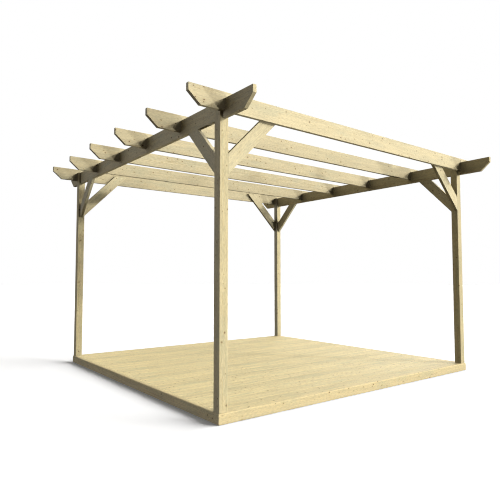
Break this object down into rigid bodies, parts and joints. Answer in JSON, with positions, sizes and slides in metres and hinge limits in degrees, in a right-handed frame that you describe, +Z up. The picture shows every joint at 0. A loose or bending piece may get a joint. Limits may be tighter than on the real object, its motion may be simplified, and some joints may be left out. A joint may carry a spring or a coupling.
{
  "type": "timber pergola with deck",
  "caption": "Open timber pergola on a low deck: corner posts hold beams in slotted tops, notched rafters with bevelled tails lie across them, and diagonal braces stiffen each corner.",
  "frame": {"origin": "on the ground, under the middle of the deck", "axes": "+Z up, +X along the rafters to the right, +Y along the beams to the back"},
  "size_m": [3.602, 3.585, 2.214],
  "materials": {
    "post_timber": "planed pressure-treated softwood, matt",
    "beam_timber": "planed pressure-treated softwood, matt",
    "rafter_timber": "planed pressure-treated softwood, matt",
    "brace_timber": "planed pressure-treated softwood, matt",
    "deck_board_timber": "planed pressure-treated softwood, matt",
    "fascia_timber": "planed pressure-treated softwood, matt",
    "joist_timber": "planed pressure-treated softwood, matt"
  },
  "bodies": {
    "root": {"beam_brace_back_left": "brace_timber", "beam_brace_back_right": "brace_timber", "beam_brace_front_left": "brace_timber", "beam_brace_front_right": "brace_timber", "beam_left": "beam_timber", "beam_right": "beam_timber", "deck_boards": "deck_board_timber", "fascia_back": "fascia_timber", "fascia_front": "fascia_timber", "fascia_left": "fascia_timber", "fascia_right": "fascia_timber", "joist_1": "joist_timber", "joist_2": "joist_timber", "joist_3": "joist_timber", "joist_4": "joist_timber", "joist_5": "joist_timber", "joist_6": "joist_timber", "joist_7": "joist_timber", "post_back_left": "post_timber", "post_back_right": "post_timber", "post_front_left": "post_timber", "post_front_right": "post_timber", "rafter_1": "rafter_timber", "rafter_2": "rafter_timber", "rafter_3": "rafter_timber", "rafter_4": "rafter_timber", "rafter_5": "rafter_timber", "rafter_6": "rafter_timber", "rafter_brace_back_left": "brace_timber", "rafter_brace_back_right": "brace_timber", "rafter_brace_front_left": "brace_timber", "rafter_brace_front_right": "brace_timber"}
  },
  "joints": []
}
